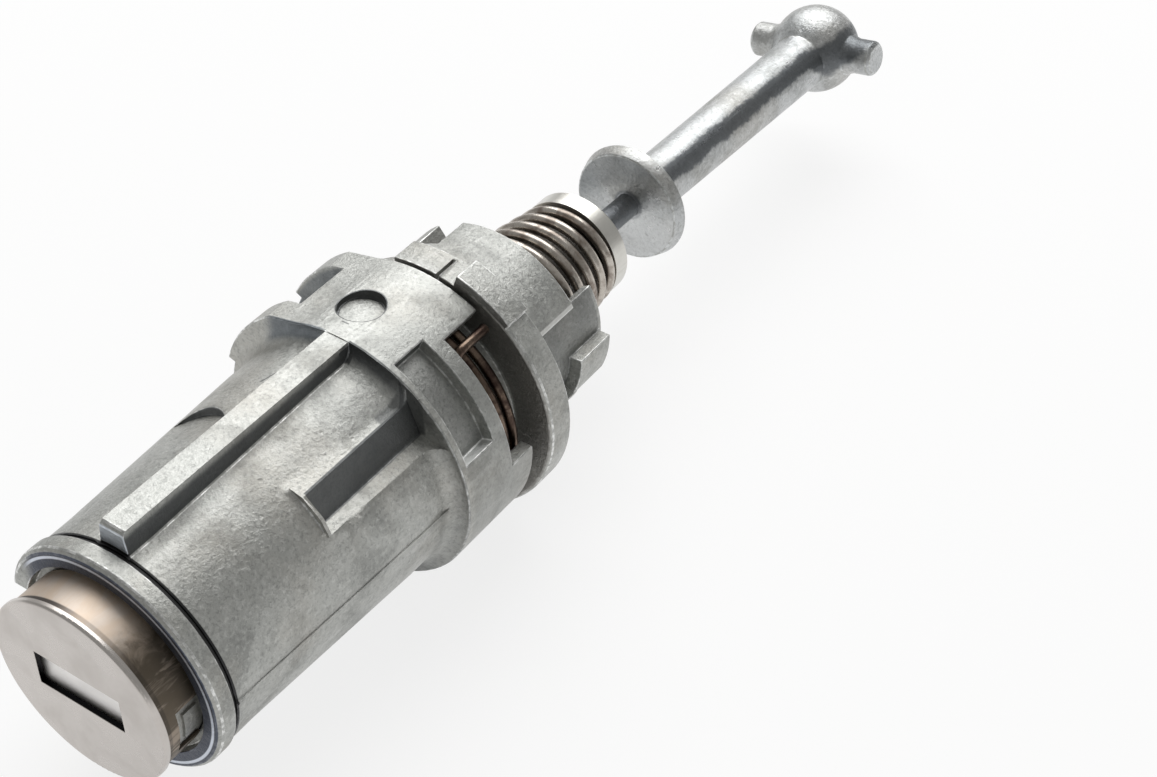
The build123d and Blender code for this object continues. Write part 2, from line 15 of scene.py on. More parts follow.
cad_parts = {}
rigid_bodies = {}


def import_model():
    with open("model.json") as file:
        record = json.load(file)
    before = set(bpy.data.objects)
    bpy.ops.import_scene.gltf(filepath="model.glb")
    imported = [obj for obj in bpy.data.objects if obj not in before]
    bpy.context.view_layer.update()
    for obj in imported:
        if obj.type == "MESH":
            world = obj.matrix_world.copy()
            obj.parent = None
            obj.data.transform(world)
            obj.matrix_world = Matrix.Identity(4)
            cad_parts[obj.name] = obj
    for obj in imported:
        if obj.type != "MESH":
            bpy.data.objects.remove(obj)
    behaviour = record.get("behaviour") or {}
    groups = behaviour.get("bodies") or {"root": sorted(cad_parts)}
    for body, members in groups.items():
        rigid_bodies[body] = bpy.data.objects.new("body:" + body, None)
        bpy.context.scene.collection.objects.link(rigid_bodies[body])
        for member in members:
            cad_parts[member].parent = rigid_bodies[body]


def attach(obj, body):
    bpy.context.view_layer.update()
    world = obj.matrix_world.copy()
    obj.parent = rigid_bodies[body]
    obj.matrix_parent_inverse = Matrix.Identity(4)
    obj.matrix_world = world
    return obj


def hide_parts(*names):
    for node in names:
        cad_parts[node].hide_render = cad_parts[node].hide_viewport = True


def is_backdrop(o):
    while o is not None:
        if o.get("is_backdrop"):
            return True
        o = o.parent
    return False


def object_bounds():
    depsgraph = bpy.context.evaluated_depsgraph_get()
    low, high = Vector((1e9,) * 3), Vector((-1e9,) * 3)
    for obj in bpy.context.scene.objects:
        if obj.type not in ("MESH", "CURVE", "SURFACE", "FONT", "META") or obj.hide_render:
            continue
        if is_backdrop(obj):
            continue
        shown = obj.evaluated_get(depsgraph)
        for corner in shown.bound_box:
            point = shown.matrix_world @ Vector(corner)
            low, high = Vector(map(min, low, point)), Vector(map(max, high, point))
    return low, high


log = logging.getLogger("lock_cylinder")

MM = 0.001
SHIFT = 1.4  # the barrel's shoulder lies this far behind the origin, in millimetres
STEEP_ANGLE = 28.0  # edges that turn by more than this many degrees are rounded
FLAT_ANGLE = 0.2  # faces that differ by less than this many degrees are joined
CRUMPLE_ANGLE = 50.0  # degrees between a face and a triangle of it that has turned over
ROUNDING_TRIES = 8
ROUNDING_ROOM = 0.25  # millimetres round a spot where the rounded edges ran into each other
TINY_AREA = 1e-10  # square metres
CASTING_WELD = 0.000004  # metres within which corners of a casting are one
WIRE_WELD = 0.000001  # metres within which corners of a wire are one
FACE_SMOOTHING = 32.0  # degrees
COIL_SMOOTHING = 60.0  # degrees
FLOOR_GAP = 0.00005  # metres between the lowest point and the floor

Triple = tuple[float, float, float]
Colour = Triple
Number = Union[float, "Signal"]


def around(radius: float, angle: float, station: float) -> Vector:
    """Gives a point by radius, angle and station.

    Args:
        radius: Distance from the lock's axis, in millimetres.
        angle: Degrees round the axis from +Z towards +X.
        station: Distance behind the barrel's shoulder, in millimetres.

    Returns:
        The point in metres, in the object's frame.
    """
    turn = math.radians(angle)
    return Vector((radius * math.sin(turn), station + SHIFT, radius * math.cos(turn))) * MM


# Shader building


class Signal:
    """Number that comes out of a node, and takes part in arithmetic."""

    def __init__(self, board: "Shader", socket: bpy.types.NodeSocket) -> None:
        """Keeps the shader and the output socket."""
        self.board = board
        self.socket = socket

    def _math(self, operation: str, *values: Number) -> "Signal":
        """Adds a Math node.

        Args:
            operation: The Math node's operation.
            values: Its inputs, in order.

        Returns:
            The node's output.
        """
        return self.board.add("ShaderNodeMath", {"operation": operation}, dict(enumerate(values)))

    def __add__(self, other: Number) -> "Signal":
        """Sum."""
        return self._math("ADD", self, other)

    __radd__ = __add__

    def __sub__(self, other: Number) -> "Signal":
        """Difference."""
        return self._math("SUBTRACT", self, other)

    def __rsub__(self, other: Number) -> "Signal":
        """Difference from a number."""
        return self._math("SUBTRACT", other, self)

    def __mul__(self, other: Number) -> "Signal":
        """Product."""
        return self._math("MULTIPLY", self, other)

    __rmul__ = __mul__

    def __truediv__(self, other: Number) -> "Signal":
        """Quotient."""
        return self._math("DIVIDE", self, other)

    def __pow__(self, other: Number) -> "Signal":
        """Power."""
        return self._math("POWER", self, other)

    def __abs__(self) -> "Signal":
        """Size without its sign."""
        return self._math("ABSOLUTE", self)

    def heading(self, other: "Signal") -> "Signal":
        """Angle in degrees from the other axis towards this one."""
        return self._math("ARCTAN2", self, other) * math.degrees(1)

    def lesser(self, other: Number) -> "Signal":
        """Smaller of two."""
        return self._math("MINIMUM", self, other)

    def greater(self, other: Number) -> "Signal":
        """Larger of two."""
        return self._math("MAXIMUM", self, other)

    def step(self, low: float, high: float) -> "Signal":
        """Smooth step.

        Args:
            low: Value at which the result is 0.
            high: Value at which the result is 1.

        Returns:
            A number from 0 to 1.
        """
        inputs = {0: self, 1: low, 2: high, 3: 0.0, 4: 1.0}
        settings = {"interpolation_type": "SMOOTHSTEP", "clamp": True}
        return self.board.add("ShaderNodeMapRange", settings, inputs)

    def above(self, level: float, soft: float) -> "Signal":
        """1 past a level and 0 before it, with a soft rise from the level on."""
        return self.step(level, level + soft)

    def below(self, level: float, soft: float) -> "Signal":
        """1 before a level and 0 past it, with a soft fall from the level on."""
        return 1 - self.step(level, level + soft)

    def band(self, low: float, high: float, soft: float) -> "Signal":
        """Mask of a stretch of values.

        Args:
            low: Lower end.
            high: Upper end.
            soft: Width over which each end fades.

        Returns:
            1 inside the stretch and 0 outside.
        """
        return self.step(low - soft, low + soft) * (1 - self.step(high - soft, high + soft))


class Shader:
    """Material under construction, with one Principled shader."""

    def __init__(self, name: str) -> None:
        """Starts an empty material.

        Args:
            name: Name of the material.
        """
        self.material = bpy.data.materials.new(name)
        self.material.use_nodes = True
        self.tree = self.material.node_tree
        self.tree.nodes.clear()
        self.output = self.tree.nodes.new("ShaderNodeOutputMaterial")
        self.surface = self.tree.nodes.new("ShaderNodeBsdfPrincipled")
        self.tree.links.new(self.surface.outputs[0], self.output.inputs["Surface"])
        self._place: bpy.types.NodeSocket | None = None

    def add(self, kind: str, settings: dict, inputs: dict, output: Union[int, str] = 0) -> Signal:
        """Adds a node.

        Args:
            kind: Type name of the node.
            settings: Attributes of the node, set first.
            inputs: Values, sockets or signals by the input's name or number.
            output: Name or number of the output that is wanted.

        Returns:
            That output.
        """
        node = self.tree.nodes.new(kind)
        for key, value in settings.items():
            setattr(node, key, value)
        for key, value in inputs.items():
            self._connect(node.inputs[key], value)
        return Signal(self, node.outputs[output])

    def _connect(self, socket: bpy.types.NodeSocket, value: object) -> None:
        """Sets or links one input.

        Args:
            socket: The input.
            value: A signal, a socket, a colour or a plain value.
        """
        if isinstance(value, Signal):
            self.tree.links.new(value.socket, socket)
        elif isinstance(value, bpy.types.NodeSocket):
            self.tree.links.new(value, socket)
        elif isinstance(value, tuple) and socket.type == "RGBA" and len(value) == 3:
            socket.default_value = (*value, 1)
        else:
            socket.default_value = value

    def place(self) -> Signal:
        """Gives the place on the object.

        Returns:
            The place in millimetres, from nodes that are made once.
        """
        if self._place is None:
            inputs = {0: self.add("ShaderNodeTexCoord", {}, {}, "Object"), "Scale": 1 / MM}
            scaled = self.add("ShaderNodeVectorMath", {"operation": "SCALE"}, inputs)
            self._place = scaled.socket
        return Signal(self, self._place)

    def axes(self) -> tuple[Signal, Signal, Signal]:
        """Gives the place as three numbers.

        Returns:
            X, Y and Z in millimetres.
        """
        split = self.add("ShaderNodeSeparateXYZ", {}, {0: self.place()}, "X")
        node = split.socket.node
        return tuple(Signal(self, node.outputs[name]) for name in "XYZ")

    def stretched(self, factors: Triple) -> Signal:
        """Place multiplied along each axis.

        Args:
            factors: One factor for each of X, Y and Z.

        Returns:
            The changed place.
        """
        settings = {"operation": "MULTIPLY"}
        return self.add("ShaderNodeVectorMath", settings, {0: self.place(), 1: factors})

    def noise(
        self, scale: float, detail: float = 3.0, rough: float = 0.55,
        warp: float = 0.0, where: Signal | None = None,
    ) -> Signal:
        """Cloudy noise.

        Args:
            scale: Features for each millimetre.
            detail: Octaves.
            rough: Strength of the finer octaves.
            warp: Distortion.
            where: Place to read, or the plain one.

        Returns:
            A number near 0.5.
        """
        inputs = {
            "Vector": where or self.place(), "Scale": scale, "Detail": detail,
            "Roughness": rough, "Distortion": warp,
        }
        return self.add("ShaderNodeTexNoise", {"noise_dimensions": "3D"}, inputs)

    def cells(self, scale: float) -> Signal:
        """Distance to the nearest of many scattered points, for pits."""
        inputs = {"Vector": self.place(), "Scale": scale}
        return self.add("ShaderNodeTexVoronoi", {"feature": "F1"}, inputs, "Distance")

    def mix(self, mask: Number, first: object, second: object) -> Signal:
        """Blends two colours.

        Args:
            mask: 0 for the first and 1 for the second.
            first: A colour or a colour signal.
            second: A colour or a colour signal.

        Returns:
            The blended colour.
        """
        settings = {"data_type": "RGBA", "clamp_factor": True}
        return self.add("ShaderNodeMix", settings, {0: mask, 6: first, 7: second}, 2)

    def bump(self, height: Signal, depth: float, strength: float) -> Signal:
        """Turns a height into a normal.

        Args:
            height: Height from 0 to 1.
            depth: Its depth in millimetres.
            strength: How much of it shows.

        Returns:
            The normal.
        """
        inputs = {"Height": height, "Distance": depth * MM, "Strength": strength}
        return self.add("ShaderNodeBump", {}, inputs)

    def finish(self, **sockets: object) -> bpy.types.Material:
        """Sets the Principled shader's sockets.

        Args:
            sockets: Values by socket name, with underscores for spaces.

        Returns:
            The finished material.
        """
        for name, value in sockets.items():
            self._connect(self.surface.inputs[name.replace("_", " ")], value)
        return self.material


# Finishes


Layers = list[tuple[Signal, Colour]]

CRISP = 0.05  # fade of a mask's sharp border, in millimetres
# Painted colours: dark shade for walls and recesses, also used for nicks; bluish shade; black
# shade in gaps and the key slot.
SHADE_AND_NICKS: Colour = (0.07, 0.075, 0.078)
BLUISH_SHADE: Colour = (0.11, 0.13, 0.15)
BLACK: Colour = (0.012, 0.012, 0.014)


class Marks:
    """Places on a casting that get painted shade or painted highlights, or carry real marks such
    as nicks.
    """

    def __init__(self, ink: Shader) -> None:
        """Reads the place on the casting.

        Args:
            ink: Material under construction.
        """
        self.ink = ink
        self.x, self.y, self.z = ink.axes()
        self.out = (self.x * self.x + self.z * self.z) ** 0.5

    def layers(self) -> Layers:
        """Lists the marks, each as a mask with the colour that it lays down, lowest first."""
        return []

    def over(self, colour: Signal) -> Signal:
        """Lays the marks over a colour.

        Args:
            colour: Colour of the bare casting.

        Returns:
            The marked colour.
        """
        for mask, tint in self.layers():
            colour = self.ink.mix(mask, colour, tint)
        return colour


class HousingShadeAndNicks(Marks):
    """Painted shade on the walls, recesses and fronts of the housing, with painted highlights and
    its nicks.

    Places are stations along Y, distances from the axis or X and Z, in millimetres.
    """

    TAPER_START, TAPER_RUN = 4.4, 21.0
    SKIN_FRONT, SKIN_SLOPE = 11.45, 0.0357
    RIB_SIDE = (1.34, 1.95)
    RIB_START, RIB_END = 1.5, 29.6
    RIB_FOOT, RIB_TOP = 11.0, 13.5
    RIB_TIP = (1.4, 1.58)
    FLANGE_FACE = (28.5, 30.1)
    FLANGE_FOOT = 12.3
    FLANGE_LEFT = (-8.2, -1.4)
    BOSS_SPAN = (16.1, 30.0)
    WALL_TOP_X, WALL_TOP_Z = 7.55, 9.85
    WALL_ACROSS, WALL_UP = 0.934, 0.358
    WALL_FOOT = 6.6
    CORNER = ((26.4, 30.0), (6.6, 9.4), (6.9, 11.4))
    POCKET_SPAN = (30.84, 34.76)
    POCKET_FLOOR, POCKET_MOUTH = 12.78, 13.84
    POCKET_LEFT = 4.0
    POCKET_END = 70.8  # degrees from +Z towards +X
    PAD_START, PAD_SKIN = 30.3, 13.9
    DIMPLE_X, DIMPLE_Y, DIMPLE_FLOOR = -0.9, 34.45, 12.5
    DIMPLE_WALL = (2.06, 2.40)
    WAIST_SPAN = (32.6, 38.76)
    WAIST_RIGHT, WAIST_RIM = -6.9, 14.2
    RECESS_Y, RECESS_REAR = 15.2, 16.6
    RECESS_ACROSS, RECESS_UP = 0.877, 0.480
    RECESS_WALL = (3.98, 4.25)
    COLLAR_FACE, COLLAR_RADIUS = -0.94, 11.76
    BORE_RIM = (10.75, 11.02)
    SEAL_SPAN = (0.93, 1.64)
    NICK_SPAN = (23.4, 25.0)
    NICK_X, NICK_Y, NICK_SLANT = -3.2, 24.2, 0.35
    DASH_SPAN, DASH_Y = (-0.9, -0.1), 31.75
    SCRATCH_LEVEL = 10.5

    def skin(self) -> Signal:
        """Radius of the barrel, which widens towards the flange."""
        widened = (self.y - self.TAPER_START).greater(0.0).lesser(self.TAPER_RUN)
        return self.SKIN_FRONT + widened * self.SKIN_SLOPE

    def rib_wall_shade(self) -> Signal:
        """Marks the right wall of the rib, for painted shade.

        Returns:
            The mask.
        """
        side = abs(self.x).band(*self.RIB_SIDE, CRISP) * self.x.step(-0.5, 0.5)
        span = self.y.above(self.RIB_START, 0.1) * self.y.below(self.RIB_END, 0.3)
        clear = (self.out - self.skin()).above(0.10, 0.12) * self.z.above(self.RIB_FOOT, 0.1)
        return side * span * clear

    def flange_face_shade(self) -> Signal:
        """Marks the front of the flange, without the end of the rib, for painted shade.

        Returns:
            The mask.
        """
        rib_end = abs(self.x).below(1.30, 0.12) * self.z.above(self.RIB_TOP, 0.1)
        rise = self.out.above(self.FLANGE_FOOT, 0.7)
        return self.y.band(*self.FLANGE_FACE, CRISP) * rise * (1 - rib_end)

    def boss_wall_shade(self) -> Signal:
        """Marks the steep wall above the boss's ledge, for painted shade.

        Returns:
            The mask.
        """
        across = (self.x - self.WALL_TOP_X) * self.WALL_ACROSS
        lean = across + (self.z - self.WALL_TOP_Z) * self.WALL_UP
        wall = abs(lean).below(0.14, 0.10) * self.y.band(*self.BOSS_SPAN, CRISP)
        return wall * self.z.above(self.WALL_FOOT, 0.3) * self.x.above(self.WALL_FOOT, 0.2)

    def boss_corner_shade(self) -> Signal:
        """Marks the corner between boss and flange, for painted shade.

        Returns:
            The mask.
        """
        along, across, up = self.CORNER
        return self.y.band(*along, 0.2) * self.x.band(*across, 0.2) * self.z.band(*up, 0.2)

    def pocket(self) -> tuple[Signal, Signal]:
        """Marks the sunk pocket in the flange, for painted shade and a painted highlight.

        Returns:
            The mask of its floor and walls for painted shade, and that of its lower end for a
            painted highlight.
        """
        inside = self.y.band(*self.POCKET_SPAN, 0.04) * self.x.above(self.POCKET_LEFT, 0.5)
        inside = inside * self.out.below(self.POCKET_MOUTH, 0.08)
        turn = self.x.heading(self.z)
        depth = 0.35 + 0.6 * self.out.above(self.POCKET_FLOOR, 0.17)
        dark = inside * depth * turn.below(self.POCKET_END - 1.3, 1.3)
        return dark, inside * turn.above(self.POCKET_END - 0.5, 0.5)

    def dimple_wall_shade(self) -> Signal:
        """Marks the wall of the round recess in the pad, for painted shade.

        Returns:
            The mask.
        """
        across = ((self.x - self.DIMPLE_X) ** 2.0 + (self.y - self.DIMPLE_Y) ** 2.0) ** 0.5
        return across.band(*self.DIMPLE_WALL, 0.03) * self.z.above(self.DIMPLE_FLOOR, 0.1)

    def waist(self) -> Signal:
        """Marks the waist between the flange's ears, for painted bluish shade.

        Returns:
            The mask.
        """
        span = self.y.band(*self.WAIST_SPAN, CRISP) * self.x.below(self.WAIST_RIGHT, 0.3)
        return span * self.out.below(self.WAIST_RIM, 0.5) * self.z.step(1.0, 7.0)

    def recess(self) -> Signal:
        """Marks the round rear wall of the recess left of the rib, for a painted shadow.

        Returns:
            The mask.
        """
        side = self.x * self.RECESS_ACROSS + self.z * self.RECESS_UP
        reach = (side * side + (self.y - self.RECESS_Y) ** 2.0) ** 0.5
        wall = reach.band(*self.RECESS_WALL, CRISP) * self.y.above(self.RECESS_REAR, 0.2)
        left = self.x.below(-1.0, 0.2) * self.z.above(5.0, 0.5)
        return wall * left * (self.skin() - self.out).above(0.02, 0.06)

    def scratches(self) -> Signal:
        """Marks the nick in the rib and the dash on the pad.

        Returns:
            The mask.
        """
        slant = (self.y - self.NICK_Y) * self.NICK_SLANT
        nick = self.y.band(*self.NICK_SPAN, 0.06)
        nick = nick * (self.x - self.NICK_X - slant).band(-0.10, 0.10, CRISP)
        dash = self.x.band(*self.DASH_SPAN, CRISP) * (self.y - self.DASH_Y).band(-0.08, 0.08, 0.04)
        return nick.greater(dash) * self.z.above(self.SCRATCH_LEVEL, 0.1)

    def layers(self) -> Layers:
        """Lists the painted shade, painted highlights and nicks.

        Returns:
            Masks with the colour that each one lays down, lowest first.
        """
        face = self.flange_face_shade()
        # Painted shade on the flange's front, weaker far to the right, and painted bluish shade on
        # its left part.
        right = face * self.x.above(-1.6, 0.4) * (1 - 0.65 * self.x.step(4.5, 11.0))
        left = face * self.x.band(*self.FLANGE_LEFT, 0.9)
        pocket, low_end_highlight = self.pocket()
        # Painted shade on walls, recesses and corners, joined with the real nicks.
        dark = self.rib_wall_shade().greater(right).greater(self.boss_wall_shade()).greater(pocket)
        dark = dark.greater(self.boss_corner_shade() * 0.8).greater(self.scratches() * 0.8)
        dark = dark.greater(self.dimple_wall_shade()).greater(self.recess())
        # Painted shade on the collar's front, painted highlights on the bore's rim and the rib's
        # tip, painted black shade in the seal's seat.
        front = self.y.below(self.COLLAR_FACE, 0.06) * self.x.step(-9.5, -7.5)
        pad = self.y.above(self.PAD_START, 0.7) * self.out.above(self.PAD_SKIN, 0.1)
        rib_tip_highlight = self.y.band(*self.RIB_TIP, 0.03) * self.out.above(self.COLLAR_RADIUS, 0.14)
        seat_gap_shade = self.y.band(*self.SEAL_SPAN, CRISP) * self.out.below(self.COLLAR_RADIUS, 0.1)
        # Lowest first: painted shade on the pad's right part, a painted highlight on the pocket's
        # lower end, then the other painted shade and highlights.
        return [
            (pad * self.x.step(0.5, 4.0) * 0.35, (0.21, 0.215, 0.205)),
            (low_end_highlight * 0.8, (0.86, 0.87, 0.86)),
            (dark * 0.88, SHADE_AND_NICKS),
            ((left * 0.8).greater(self.waist() * 0.62), BLUISH_SHADE),
            (front * 0.9, (0.035, 0.045, 0.075)),
            (front * self.out.band(*self.BORE_RIM, CRISP), (0.70, 0.74, 0.82)),
            (rib_tip_highlight * 0.7, (0.62, 0.67, 0.74)),
            (seat_gap_shade * 0.95, BLACK),
        ]


class DriverShading(Marks):
    """Painted shade on the front and in the cup of the driver, and a painted highlight along its
    step.

    Spans are stations along Y and all lengths are in millimetres, angles in degrees.
    """

    DISC_FRONT, GUIDE_RADIUS = 41.86, 10.6
    LOW_SPAN, LOW_RADIUS = (45.3, 57.2), 9.6
    CUP_START, CUP_RADIUS = 46.3, 8.2
    STRIP_ANGLE, STRIP_SPAN, STRIP_RADIUS = (56.4, 59.2), (44.9, 53.2), 10.2

    def layers(self) -> Layers:
        """Lists the painted shade and highlight.

        Returns:
            Masks with the colour that each one lays down, lowest first.
        """
        front = self.y.below(self.DISC_FRONT, 0.06) * self.out.above(self.GUIDE_RADIUS, 0.2)
        low = self.y.band(*self.LOW_SPAN, 0.1) * self.out.below(self.LOW_RADIUS, 0.2)
        cup = self.y.above(self.CUP_START, 0.2) * self.out.below(self.CUP_RADIUS, 0.15)
        strip = self.x.heading(self.z).band(*self.STRIP_ANGLE, 0.4)
        strip = strip * self.y.band(*self.STRIP_SPAN, 0.2) * self.out.above(self.STRIP_RADIUS, 0.2)
        # Painted shade on the disc's front, the low right inside and the cup; a painted highlight
        # along the step.
        return [
            (front * 0.7, (0.17, 0.16, 0.145)),
            (low * self.x.step(6.0, 6.5) * 0.4, SHADE_AND_NICKS),
            (cup * 0.85, (0.05, 0.042, 0.035)),
            (strip * 0.8, (0.80, 0.80, 0.78)),
        ]


class TailShading(Marks):
    """Painted dark reflection, shade and highlight on the tail, which leans a little off the
    lock's axis.

    Starts and faces are stations along Y, in millimetres; the leans are slopes.
    """

    PIVOT = 59.9
    LEAN_X, LEAN_Z = 0.007, -0.0395
    FACING_X, FACING_Z = 0.695, 0.72
    PLATE_FACE, PLATE_RADIUS = (75.9, 76.9), 5.9
    STEM_RADIUS = 1.6
    ROD_START, BALL_START, BALL_MIDDLE = 77.7, 110.0, 114.0
    REFLECTION_HALF = 0.95

    def layers(self) -> Layers:
        """Lists the painted reflection, shade and highlight.

        Returns:
            Masks with the colour that each one lays down, lowest first.
        """
        along = self.y - self.PIVOT
        side = self.x - along * self.LEAN_X
        high = self.z - along * self.LEAN_Z
        out = (side * side + high * high) ** 0.5
        wave = self.ink.noise(0.5, 5, 0.65, 0.5) - 0.5
        ball = self.y.step(self.BALL_START, self.BALL_MIDDLE)
        off = side * self.FACING_Z - high * self.FACING_X + wave * 1.8 - ball * 1.5
        facing = (side * self.FACING_X + high * self.FACING_Z).step(0.2, 0.8)
        wide = self.REFLECTION_HALF + self.y.step(self.BALL_START - 1, self.BALL_MIDDLE) * 0.8
        dark_reflection = (abs(off) / wide).below(0.75, 0.5) * facing * self.y.above(self.ROD_START, 0.5)
        stem_shade = out.below(self.STEM_RADIUS, 0.3) * self.y.below(self.ROD_START - 1, 0.3)
        plate = self.y.band(*self.PLATE_FACE, 0.1) * out.below(self.PLATE_RADIUS, 0.2)
        dish_shade = plate * (high - side * 0.6 + wave * 3.0).step(1.0, 4.5)
        pale = plate * (1 - (high - side * 0.3 + wave * 4.0).step(-2.5, 1.0))
        # A painted dark reflection along the rod and ball, painted shade on the stem, a painted
        # highlight low on the plate's face and painted shade high on it.
        return [
            (dark_reflection * 0.82, (0.085, 0.095, 0.105)),
            (stem_shade * 0.7, (0.11, 0.12, 0.14)),
            (pale * 0.4, (0.78, 0.79, 0.79)),
            (dish_shade * 0.6, (0.16, 0.175, 0.185)),
        ]


@dataclass(frozen=True)
class CastZinc:
    """Satin zinc casting with cloudy stains, fine grain and rub marks, under the painted shade and
    highlights of its marks.
    """

    name: str
    marks: type[Marks] | None = None
    body: Colour = (0.43, 0.435, 0.415)
    dark: Colour = (0.21, 0.215, 0.205)
    frost: Colour = (0.66, 0.665, 0.64)
    warm: Colour = (0.47, 0.44, 0.39)
    rough: float = 0.38
    stain: float = 0.5
    grain: float = 0.08

    def make(self) -> bpy.types.Material:
        """Builds the material.

        Returns:
            The material.
        """
        ink = Shader(self.name)
        cloud = ink.noise(0.16, 5, 0.62, 0.6).step(0.44, 0.66)
        speck = ink.noise(1.7, 6, 0.74, 0.3).step(0.47, 0.68)
        warmth = ink.noise(0.08, 3, 0.5).step(0.46, 0.66)
        rubs = ink.noise(0.8, 4, 0.6, 0.0, ink.stretched((1.0, 0.10, 1.0))).step(0.52, 0.72)
        fine = ink.noise(2.9, 5, 0.7, 0.2)
        colour = ink.mix(cloud * self.stain, self.body, self.dark)
        colour = ink.mix(warmth * 0.35, colour, self.warm)
        colour = ink.mix(speck * 0.5, colour, self.frost)
        colour = ink.mix(rubs * 0.20, colour, self.frost)
        colour = ink.mix(fine.step(0.48, 0.66) * 0.5, colour, self.dark)
        rough = self.rough + cloud * 0.12 + speck * 0.10 - rubs * 0.08
        # The marks lay painted shade, highlights and reflections over the colour.
        if self.marks:
            colour = self.marks(ink).over(colour)
        pits = 1 - ink.cells(0.55).step(0.05, 0.16)
        height = fine * 0.9 + ink.noise(1.3, 5, 0.6) * 0.7 - pits * 0.35
        return ink.finish(
            Base_Color=colour, Roughness=rough, Metallic=0.85,
            Normal=ink.bump(height, self.grain, 0.9),
        )


@dataclass(frozen=True)
class WornHighlitEdge:
    """Zinc on the rounded edges of a casting, brighter from wear and a painted highlight, with
    painted shade where the edge lies in a recess.
    """

    name: str
    marks: type[Marks]
    colour: Colour = (0.78, 0.785, 0.77)
    dull: Colour = (0.40, 0.405, 0.39)

    def make(self) -> bpy.types.Material:
        """Builds the material.

        Returns:
            The material.
        """
        ink = Shader(self.name)
        # Brighter patches from wear and a painted highlight, under the casting's painted shade.
        wear_and_highlight = ink.noise(1.1, 5, 0.65, 0.4).step(0.42, 0.62)
        colour = self.marks(ink).over(ink.mix(wear_and_highlight, self.dull, self.colour))
        height = ink.noise(4.5, 4, 0.6)
        return ink.finish(
            Base_Color=colour, Roughness=0.42 - wear_and_highlight * 0.12, Metallic=0.85,
            Normal=ink.bump(height, 0.03, 0.7),
        )


@dataclass(frozen=True)
class BrushedSteel:
    """Bright rolled or turned steel with fine scratches."""

    name: str
    colour: Colour = (0.60, 0.58, 0.55)
    shade: Colour = (0.42, 0.40, 0.38)
    rough: float = 0.24
    scratch: Triple = (1.0, 0.12, 1.0)
    depth: float = 0.010

    def make(self) -> bpy.types.Material:
        """Builds the material.

        Returns:
            The material.
        """
        ink = Shader(self.name)
        haze = ink.noise(0.22, 4, 0.6, 0.3).step(0.40, 0.70)
        lines = ink.noise(3.2, 3, 0.6, 0.0, ink.stretched(self.scratch))
        marks = ink.noise(1.7, 5, 0.7, 0.8).step(0.56, 0.70)
        colour = ink.mix(haze * 0.5, self.colour, self.shade)
        colour = ink.mix(lines.step(0.5, 0.75) * 0.25, colour, self.shade)
        rough = self.rough + haze * 0.08 + marks * 0.12
        return ink.finish(
            Base_Color=colour, Roughness=rough, Metallic=0.95,
            Normal=ink.bump(lines + marks * 0.3, self.depth, 0.6),
        )


@dataclass(frozen=True)
class PressedCap:
    """Satin steel cap: pale face, tan skirt with painted shade to one side, painted shade in the
    groove behind the rim and inside the key slot.

    Lengths are in millimetres; rim, groove and slot level are stations along Y.
    """

    name: str
    face: Colour = (0.58, 0.545, 0.515)
    haze: Colour = (0.48, 0.445, 0.415)
    tan: Colour = (0.56, 0.465, 0.38)
    shade_olive: Colour = (0.085, 0.07, 0.05)
    line: Colour = (0.03, 0.028, 0.03)
    rim: float = -4.55
    groove_span: tuple[float, float] = (-4.50, -3.95)
    slot_level: float = -5.07
    slot_middle: tuple[float, float] = (0.1, 0.3)
    slot_half: tuple[float, float] = (4.86, 2.02)

    def skirt_colour(self, ink: Shader, blotch: Signal) -> Signal:
        """Mixes the skirt's smeared tan, with painted shade towards the low right.

        Args:
            ink: Material under construction.
            blotch: Noise that frays the border of the painted shade.

        Returns:
            The colour.
        """
        x, _, z = ink.axes()
        shaded_side = (x - z * 0.4 + blotch * 7.0 - 3.5).step(0.2, 4.6)
        smear = ink.noise(0.7, 5, 0.65, 0.5, ink.stretched((1.0, 0.25, 1.0)))
        band = ink.mix(smear.step(0.42, 0.62) * 0.4, self.tan, self.face)
        band = ink.mix(shaded_side * 0.88, band, self.shade_olive)
        return ink.mix(shaded_side * smear.step(0.50, 0.62) * 0.5, band, self.tan)

    def make(self) -> bpy.types.Material:
        """Builds the material.

        Returns:
            The material.
        """
        ink = Shader(self.name)
        x, y, z = ink.axes()
        cloud = ink.noise(0.22, 4, 0.6, 0.3).step(0.40, 0.70)
        lines = ink.noise(3.2, 3, 0.6, 0.0, ink.stretched((1.0, 1.0, 0.12)))
        blotch = ink.noise(0.45, 5, 0.65, 0.8)
        skirt = y.above(self.rim, 0.1)
        groove = y.band(*self.groove_span, 0.08) * (1 - 0.6 * x.step(-2.0, 2.0))
        slot = y.above(self.slot_level, 0.03)
        slot = slot * abs(x - self.slot_middle[0]).below(self.slot_half[0], 0.09)
        slot = slot * abs(z - self.slot_middle[1]).below(self.slot_half[1], 0.08)
        colour = ink.mix(cloud * 0.5, self.face, self.haze)
        colour = ink.mix(skirt, colour, self.skirt_colour(ink, blotch))
        # Painted shade in the groove behind the rim, darker on the left, and painted black shade
        # inside the key slot.
        colour = ink.mix(groove * 0.9, colour, self.line)
        colour = ink.mix(slot, colour, BLACK)
        return ink.finish(
            Base_Color=colour, Roughness=0.27 + cloud * 0.08 + skirt * 0.22, Metallic=0.95,
            Normal=ink.bump(lines + blotch * 0.3, 0.008, 0.5),
        )


